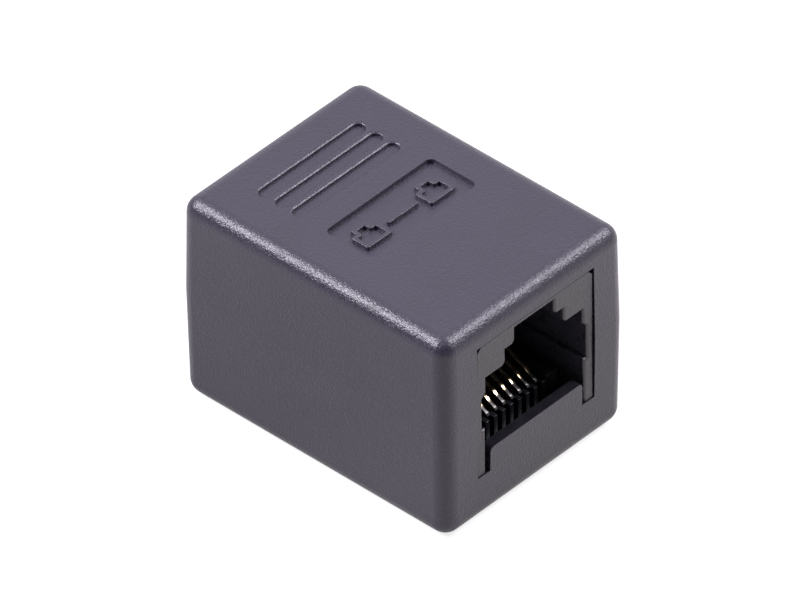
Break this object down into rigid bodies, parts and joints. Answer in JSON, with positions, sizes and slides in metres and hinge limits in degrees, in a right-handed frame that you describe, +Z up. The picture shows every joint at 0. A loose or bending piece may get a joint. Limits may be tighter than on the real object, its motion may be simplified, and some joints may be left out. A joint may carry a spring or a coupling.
{
  "type": "rj45 inline coupler",
  "caption": "Small moulded block with a modular network jack in each end, which joins network cables plug to plug; grip grooves and a recessed label panel on top.",
  "frame": {"origin": "centre of the bounding box's underside, on the face the coupler lies on", "axes": "+X along the coupler towards the jack of end A, +Y across it, +Z up through the face with the grip grooves"},
  "size_m": [0.031, 0.023, 0.0215],
  "materials": {
    "housing": "fine spark-eroded texture, dark violet grey",
    "jack_plastic": "smooth black glass-filled plastic",
    "contact_gilt": "thin gold plate over phosphor bronze, satin",
    "board": "green solder resist over fibreglass"
  },
  "bodies": {
    "root": {"top_shell": "housing", "bottom_shell": "housing", "circuit_board": "board", "jack_body_a": "jack_plastic", "jack_body_b": "jack_plastic", "contact_carrier_a": "jack_plastic", "contact_carrier_b": "jack_plastic", "contact_a_1": "contact_gilt", "contact_a_2": "contact_gilt", "contact_a_3": "contact_gilt", "contact_a_4": "contact_gilt", "contact_a_5": "contact_gilt", "contact_a_6": "contact_gilt", "contact_a_7": "contact_gilt", "contact_a_8": "contact_gilt", "contact_b_1": "contact_gilt", "contact_b_2": "contact_gilt", "contact_b_3": "contact_gilt", "contact_b_4": "contact_gilt", "contact_b_5": "contact_gilt", "contact_b_6": "contact_gilt", "contact_b_7": "contact_gilt", "contact_b_8": "contact_gilt"}
  },
  "joints": []
}
